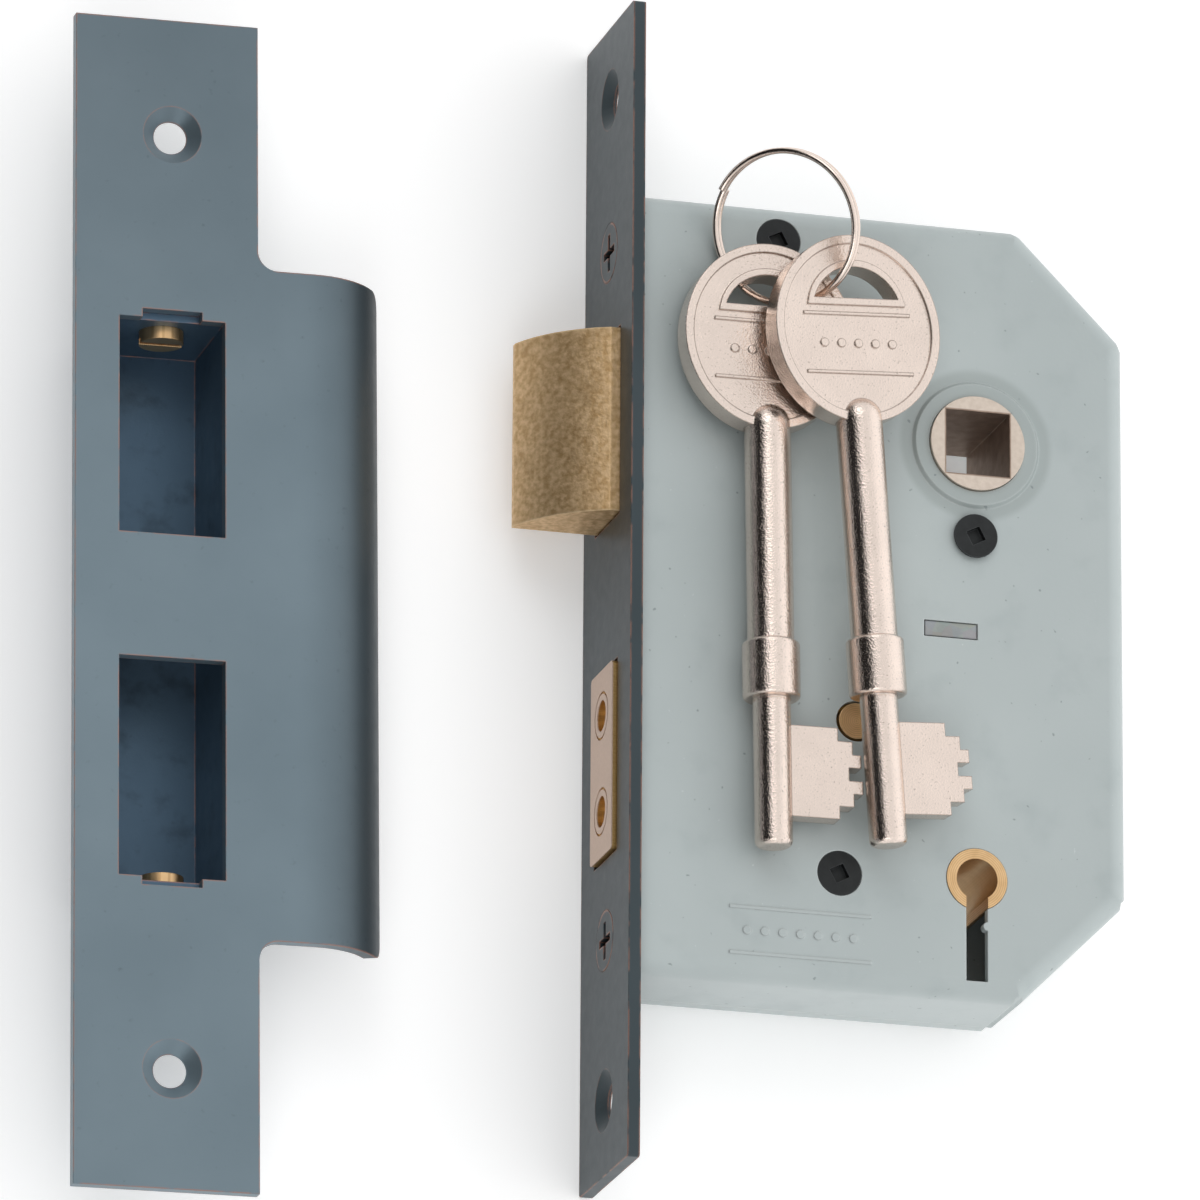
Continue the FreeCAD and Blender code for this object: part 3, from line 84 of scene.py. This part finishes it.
class Nodes:
    """The nodes of a finish or of the room, each made by one method."""

    def __init__(self, tree, place):
        self.tree = tree
        self.place = self.add("ShaderNodeTexCoord", out=place)

    def add(self, kind, settings=None, inputs=None, out=0):
        """Add a node: its settings first, then its inputs, and give back one of its outputs."""
        node = self.tree.nodes.new(kind)
        for name, value in (settings or {}).items():
            setattr(node, name, value)
        for socket, value in (inputs or {}).items():
            self.feed(node.inputs[socket], value)
        return Value(self, node.outputs[out])

    def feed(self, socket, value):
        """Link a value to a socket, or set the socket to a plain number or colour."""
        if isinstance(value, Value):
            self.tree.links.new(value.socket, socket)
        else:
            socket.default_value = value

    def sum(self, operation, *terms):
        """Work out one sum on values or plain numbers."""
        return self.add("ShaderNodeMath", {"operation": operation}, dict(enumerate(terms)))

    def mix(self, first, second, share):
        """A colour between two colours."""
        return self.add("ShaderNodeMix", {"data_type": "RGBA"}, {0: share, 6: first, 7: second}, 2)

    def noise(self, grain, detail=2.0, stretch=(1, 1, 1)):
        """Cloudy noise from 0 to 1 whose lumps are about one grain (in metres) across."""
        place = self.add("ShaderNodeVectorMath", {"operation": "MULTIPLY"}, {0: self.place, 1: stretch})
        return self.add("ShaderNodeTexNoise", {}, {"Vector": place, "Scale": 1 / grain, "Detail": detail})

    def axis(self, letter):
        """How far along an axis a point lies, in metres."""
        return self.add("ShaderNodeSeparateXYZ", {}, {0: self.place}, letter.upper())

    def radius(self, centre, axes):
        """The distance from a line through the centre, square to the two axes."""
        across, up = (self.axis(letter) - centre["xyz".index(letter)] for letter in axes)
        return (across * across + up * up) ** 0.5

    def eased(self, width):
        """The direction a surface faces, with its edges rounded over a width."""
        return self.add("ShaderNodeBevel", {"samples": 6}, {"Radius": width})


class Finish(Nodes):
    """A material made of nodes around one shader."""

    def __init__(self, name, **shader):
        self.material = bpy.data.materials.new(name)
        self.material.use_nodes = True
        super().__init__(self.material.node_tree, "Object")
        self.shader = self.tree.nodes["Principled BSDF"]
        for socket, value in shader.items():
            self.shader.inputs[socket.replace("_", " ")].default_value = value

    def colour(self, shade, rough):
        """Feed the shader its colour and how rough it is."""
        self.feed(self.shader.inputs["Base Color"], shade)
        self.feed(self.shader.inputs["Roughness"], rough)

    def worn(self, width):
        """1 at the edges of a piece and 0 away from them."""
        faces = self.add("ShaderNodeNewGeometry", out="Normal")
        turned = {0: self.eased(width), 1: faces}
        alike = self.add("ShaderNodeVectorMath", {"operation": "DOT_PRODUCT"}, turned, "Value")
        return (1 - alike).rise(0.01, 0.1)

    def surface(self, height, depth, edge):
        """Raise the surface by a height from 0 to 1 times a depth, with its edges eased."""
        inputs = {"Height": height, "Distance": depth, "Strength": 1.0, "Normal": self.eased(edge)}
        self.feed(self.shader.inputs["Normal"], self.add("ShaderNodeBump", {}, inputs))

    def coat(self, *names):
        """Give this finish to nodes or pieces."""
        for name in names:
            thing = frame["nodes"][name] if isinstance(name, str) else name
            thing.data.materials.clear()
            thing.data.materials.append(self.material)


def tone(code):
    """A colour from its six-digit code, as light and not as seen."""
    parts = [int(code[at:at + 2], 16) / 255 for at in (0, 2, 4)]
    return tuple(((part + 0.055) / 1.055) ** 2.4 for part in parts) + (1.0,)


def mount(name):
    """Where a mount of the lock is, in metres."""
    return next(Vector(item["pos_m"]) for item in frame["record"]["mounts"] if item["name"] == name)


hub = mount("spindle_square")
case_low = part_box("case_body")[0]

case_paint = Finish("case_paint", Metallic=0.0, Coat_Weight=0.25, Coat_Roughness=0.2)
cloud = case_paint.noise(0.02, 3.0)
grime = case_paint.noise(0.006, 6.0).rise(0.5, 0.8)
paint = case_paint.mix(tone("a9b3b3"), tone("b7c0c0"), cloud)
paint = case_paint.mix(paint, tone("97a2a3"), grime * 0.3)
boss_foot, boss_fade = 0.0093, 0.0105
# Painted shade: the paint is darkened on the boss round the follower and fades out past its foot.
boss_painted_shade = 1 - case_paint.radius(hub, "xy").rise(boss_foot, boss_fade)
paint = case_paint.mix(paint, tone("8f9896"), boss_painted_shade * 0.5)
dark_speck = case_paint.noise(0.0009, 1.0).rise(0.75, 0.8)
pale_speck = case_paint.noise(0.0006, 1.0, (1.3, 1, 1)).rise(0.79, 0.82)
paint = case_paint.mix(paint, tone("5f6a6c"), dark_speck * 0.5)
paint = case_paint.mix(paint, tone("d5dcdc"), pale_speck * 0.4)
# Paler paint along the edges: partly worn paint and partly a painted highlight.
paint = case_paint.mix(paint, tone("ccd3d2"), case_paint.worn(0.0004) * 0.5)
case_paint.colour(paint, 0.38 + case_paint.noise(0.003) * 0.12)
wave_reach = 0.009
beside_forend = 1 - case_paint.axis("x").rise(case_low.x, case_low.x + wave_reach)
wave = case_paint.noise(0.014, 0.0, (1, 0.5, 1)) * beside_forend
peel = case_paint.noise(0.0006, 1.0) * 0.02
case_paint.surface(wave * 1.2 + peel, 0.0005, 0.0003)
case_paint.coat("case_body", "case_cap")


# ---------------------------------------------------------------- case screws
# Three machine screws with square sockets, which hold the case's halves together. They are
# blacked with phosphate, so nearly matt, and a driver has scuffed them a little.

black = Finish("screw_black", Metallic=0.5)
scuff = black.noise(0.0012, 5.0)
shade = black.mix(tone("17191a"), tone("2f3233"), scuff)
black.colour(black.mix(shade, tone("55585a"), black.worn(0.0002) * 0.5), 0.4 + scuff * 0.2)
black.surface(black.noise(0.00025, 2.0), 0.00002, 0.00015)
black.coat("case_screws")


# ---------------------------------------------------------------- forend and strike plate
# Rolled brass strip, bronzed blue-grey and rubbed to a thin copper line along the edges, with painted
# shade where the strike's lip rolls away and towards its top end. The forend's two screws have painted
# shadow in their seats and slots, and the pressed box that is screwed behind the strike is a bluer bronze.

def bronzed(name, pale, deep, metal, darker):
    """The bronzed finish between two tones, with a function for the darker parts."""
    finish = Finish(name, Metallic=metal, Specular_IOR_Level=0.3)
    cloud = finish.noise(0.016, 3.0)
    shade = finish.mix(tone(deep), tone(pale), cloud)
    shade = finish.mix(shade, tone("39444b"), finish.noise(0.0012, 3.0).rise(0.64, 0.84) * 0.3)
    # The darker parts are painted shade on the forend and strike, and dust on the box.
    shade = finish.mix(shade, tone("14181b"), darker(finish))
    rubbed = finish.worn(0.0004) * finish.noise(0.003, 4.0).rise(0.35, 0.55)
    shade = finish.mix(shade, tone("a87a68"), rubbed * 0.8)
    finish.colour(shade, 0.34 + finish.noise(0.0018, 4.0) * 0.14)
    finish.surface(finish.noise(0.0004, 2.0), 0.000012, 0.0002)
    return finish


forend_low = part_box("forend")[0]
heads_low, heads_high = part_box("forend_screws")
head = (heads_high.z - heads_low.z) / 2
strike_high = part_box("strike_plate")[1]


def forend_painted_shadow(finish):
    """Painted shadow in the seats round the two screws and at the bottoms of their slots."""
    beside = abs(finish.axis("y")) - (heads_high.y - head)
    from_screw = (beside * beside + finish.axis("z") ** 2) ** 0.5
    seat = 1 - abs(from_screw - head).rise(0.0, 0.00022)
    sunk = finish.axis("x").rise(forend_low.x + 0.0002, forend_low.x + 0.0008)
    on_head = 1 - from_screw.rise(head, head + 0.0001)
    return (seat + sunk * on_head) * 0.85


def strike_painted_shade(finish):
    """Painted shade on the roll of the lip, and on the end away from the lamp."""
    lip_reach = 0.013
    lip = finish.axis("x").rise(strike_high.x - lip_reach, strike_high.x)
    top = finish.axis("y").rise(0.0, strike_high.y)
    return lip * 0.75 + top * 0.25


def box_dark(finish):
    """Dust in patches over the box."""
    return finish.noise(0.004, 4.0).rise(0.5, 0.8) * 0.4


bronzed("forend_bronze", "424d52", "343e42", 0.3, forend_painted_shadow).coat("forend", "forend_screws")
bronzed("strike_bronze", "7b8b94", "6a7a83", 0.55, strike_painted_shade).coat("strike_plate")
bronzed("box_bronze", "5b7284", "4a6176", 0.55, box_dark).coat("dust_box", "dust_box_lugs")


# ---------------------------------------------------------------- latch and deadbolt
# Sand-cast brass blocks on the ends of their slides. The latch keeps a grainy, browned skin; the
# deadbolt's end is milled to a pale, pinkish face, and its two hardened pins stand in turned rings.

latch = Finish("latch_brass", Metallic=0.85)
sand = latch.noise(0.0007, 6.0)
skin = latch.mix(tone("c09c6c"), tone("e6c79c"), sand.rise(0.25, 0.75))
skin = latch.mix(skin, tone("8d6d42"), latch.noise(0.003, 5.0).rise(0.5, 0.85) * 0.35)
skin = latch.mix(skin, tone("f2dcb6"), latch.worn(0.0005) * 0.5)
latch.colour(skin, 0.42 + sand * 0.16)
latch.surface(latch.noise(0.00035, 3.0) + latch.noise(0.0012, 3.0), 0.00004, 0.0004)
latch.coat("latch_bolt")

bolt_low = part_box("deadbolt_head")[0]
bolt = Finish("bolt_brass", Metallic=0.85)
end_face = 1 - bolt.axis("x").rise(bolt_low.x + 0.00005, bolt_low.x + 0.0002)
brush = bolt.noise(0.0004, 3.0, (1, 1, 4))
milled = bolt.mix(tone("bda594"), tone("d8c2b2"), brush)
bright = bolt.mix(tone("b98f4e"), tone("e7c184"), bolt.noise(0.0006, 4.0, (1, 4, 1)))
bolt.colour(bolt.mix(bright, milled, end_face), 0.26 + end_face * 0.22 + brush * 0.06)
bolt.surface(brush, 0.00001, 0.0002)
bolt.coat("deadbolt_head")

pin = Finish("pin_metal", Metallic=1.0)
turning = pin.noise(0.0003, 3.0)
pin.colour(pin.mix(tone("8d6f41"), tone("d9b06a"), turning), 0.28 + turning * 0.15)
pin.surface(turning, 0.00002, 0.0002)
pin.coat("hardened_pins")


# ---------------------------------------------------------------- follower
# A sintered steel hub that turns in the case, nickel plated on its faces. The square hole for
# the spindle is left dull and brown, with a dark line round the rim.

nickel_hub = Finish("follower_nickel", Metallic=0.9)
half_square, soft = 0.0043, 0.00015
across = abs(nickel_hub.axis("x") - hub.x).rise(half_square, half_square + soft)
upward = abs(nickel_hub.axis("y") - hub.y).rise(half_square, half_square + soft)
square_hole = (1 - across) * (1 - upward)
sinter = nickel_hub.noise(0.0007, 5.0)
plate = nickel_hub.mix(tone("c2b3a5"), tone("e2d5c8"), sinter)
rim_inner, rim_outer = 0.0083, 0.0088
rim = nickel_hub.radius(hub, "xy").rise(rim_inner, rim_outer)
plate = nickel_hub.mix(plate, tone("5c5148"), rim * 0.7)
rust = nickel_hub.mix(tone("77655a"), tone("bba696"), nickel_hub.noise(0.0016, 5.0))
nickel_hub.colour(nickel_hub.mix(plate, rust, square_hole), 0.3 + sinter * 0.1 + square_hole * 0.15)
nickel_hub.surface(nickel_hub.noise(0.0003, 2.0), 0.00002, 0.0002)
nickel_hub.coat("follower")


# ---------------------------------------------------------------- key barrel, pivot post, box screws
# Brass turned in a lathe, with fine rings on the end faces. The barrel turns with the key in
# both halves of the case, the post carries the levers, and the screws hold the dust box.

def turned_brass(name, centre, axes, *nodes):
    """Turned brass, with its lathe rings round a centre line."""
    finish = Finish(name, Metallic=0.95)
    rings_per_metre = 24000
    rings = finish.sum("SINE", finish.radius(centre, axes) * rings_per_metre)
    tarnish = finish.noise(0.0016, 4.0)
    shade = finish.mix(tone("c9a272"), tone("eecb9c"), tarnish)
    shade = finish.mix(shade, tone("7c5a30"), rings.rise(0.3, 1.0) * 0.35)
    finish.colour(shade, 0.3 + tarnish * 0.16)
    finish.surface(rings * 0.5 + 0.5, 0.00001, 0.0002)
    finish.coat(*nodes)


pivot_low, pivot_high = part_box("lever_pivot")
turned_brass("barrel_brass", mount("keyhole"), "xy", "key_barrel")
turned_brass("pivot_brass", (pivot_low + pivot_high) / 2, "xy", "lever_pivot")
screws_low, screws_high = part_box("dust_box_screws")
turned_brass("box_screw_brass", (screws_low + screws_high) / 2, "xz", "dust_box_screws")


# ---------------------------------------------------------------- keys and split ring
# Keys cast in zinc alloy and nickel plated, a little warm in colour, with the casting's fine pits
# under the plate and darker edges. They hang on a split ring of drawn steel wire, plated the same.

def nickel(name, pits, rough, *nodes):
    """Bright nickel plate over a metal with more or fewer pits."""
    finish = Finish(name, Metallic=1.0)
    cloud = finish.noise(0.005, 4.0)
    pit = finish.noise(0.00024, 3.0)
    shade = finish.mix(tone("dccdc3"), tone("eeded3"), cloud)
    shade = finish.mix(shade, tone("6b5f57"), pit.rise(0.6, 0.78) * pits * 0.55)
    shade = finish.mix(shade, tone("84756a"), finish.worn(0.00025) * pits * 0.7)
    finish.colour(shade, rough + cloud * 0.06)
    finish.surface(pit, 0.00006 * pits, 0.0003)
    finish.coat(*nodes)


nickel("key_nickel", 1.0, 0.13, "key_1", "key_2")
nickel("ring_nickel", 0.2, 0.1, "split_ring")


# ---------------------------------------------------------------- inside of the lock
# Zinc plated steel plates and posts, riveted or screwed through the case, brass levers stamped
# from sheet that turn on the post, and springs of drawn wire behind the latch and over the levers.

zinc = Finish("zinc_plate", Metallic=0.8)
spangles_per_metre = 700
spangle = zinc.add("ShaderNodeTexVoronoi", {}, {"Vector": zinc.place, "Scale": spangles_per_metre}, "Color")
grey = zinc.mix(tone("858a88"), tone("aaaeaa"), zinc.noise(0.003, 5.0))
grey = zinc.mix(grey, tone("4e5453"), zinc.worn(0.0004) * 0.4)
zinc.colour(zinc.mix(grey, spangle, 0.04), 0.4 + zinc.noise(0.001, 3.0) * 0.2)
zinc.surface(zinc.noise(0.0004, 2.0), 0.00002, 0.00015)
zinc.coat("case_posts", "inner_forend", "shelf_plate", "latch_guide", "latch_tail", "latch_hook",
          "deadbolt_tail", "bolt_stump", "deadbolt_rivets")

sheet_brass = Finish("lever_brass", Metallic=1.0)
rolled = sheet_brass.noise(0.0008, 4.0, (0.2, 3, 1))
sheet_brass.colour(sheet_brass.mix(tone("b08a4a"), tone("dcb878"), rolled), 0.28 + rolled * 0.14)
sheet_brass.surface(rolled, 0.00001, 0.00012)
sheet_brass.coat(*("lever_%d" % number for number in range(1, 6)))

wire = Finish("spring_wire", Metallic=1.0)
drawn = wire.noise(0.0005, 3.0)
wire.colour(wire.mix(tone("6f7172"), tone("a3a5a6"), drawn), 0.25 + drawn * 0.15)
wire.surface(drawn, 0.00001, 0.00005)
wire.coat("latch_spring", "follower_spring", "lever_springs")


# ---------------------------------------------------------------- floor, light and camera
# A white floor under the set that glows a little, as a light table does, and a bright tent over
# it whose left side is dark near the horizon, so that each plated stem carries one dark band.

floor_mesh = bpy.data.meshes.new("floor")
reach, gap = 3.0, 0.0002
level = cad_box[0][2] - gap
floor_mesh.from_pydata([(-reach, -reach, level), (reach, -reach, level), (reach, reach, level),
                        (-reach, reach, level)], [], [(0, 1, 2, 3)])
floor = bpy.data.objects.new("floor", floor_mesh)
bpy.context.scene.collection.objects.link(floor)
pale = Finish("floor_white", Emission_Color=(1.0, 1.0, 1.0, 1.0), Emission_Strength=0.25)
pale.colour(pale.mix(tone("f4f4f4"), tone("fafafa"), pale.noise(0.2)), 0.7)
floor_mesh.materials.append(pale.material)

room = bpy.data.worlds.new("room")
bpy.context.scene.world = room
room.use_nodes = True
tent = Nodes(room.node_tree, "Generated")
side = tent.axis("x")
glow = room.node_tree.nodes["Background"].inputs
glow["Color"].default_value = (1.0, 1.0, 1.0, 1.0)
tent.feed(glow["Strength"], 0.02 + side.rise(-0.62, -0.28) * 0.92 + side.rise(0.3, 0.85) * 0.3)

lamps = (("key lamp", (-0.35, 0.65, 0.9), 0.6, 1.6), ("fill lamp", (-0.3, -0.7, 0.8), 0.5, 1.4))
for name, place, size, power in lamps:
    lamp = bpy.data.lights.new(name, "AREA")
    lamp.size = size
    lamp.energy = power
    stand = bpy.data.objects.new(name, lamp)
    stand.location = place
    stand.rotation_euler = (-Vector(place)).to_track_quat("-Z", "Y").to_euler()
    bpy.context.scene.collection.objects.link(stand)

back = Vector((-0.2568, -0.2988, 0.9191)).normalized()
right = Vector((0.9625, 0.0063, 0.2710)).normalized()
aim = Vector((-0.0009, -0.0009, 0.0))
distance = 1.4701
camera_data = bpy.data.cameras.new("camera")
camera_data.lens = 351.7
camera_data.sensor_width = 36
camera_data.clip_start = 0.1
camera = bpy.data.objects.new("camera", camera_data)
turn = Matrix((right, back.cross(right), back)).transposed()
camera.matrix_world = Matrix.Translation(aim + back * distance) @ turn.to_4x4()
bpy.context.scene.collection.objects.link(camera)
bpy.context.scene.camera = camera
bpy.context.scene.view_settings.view_transform = "Standard"
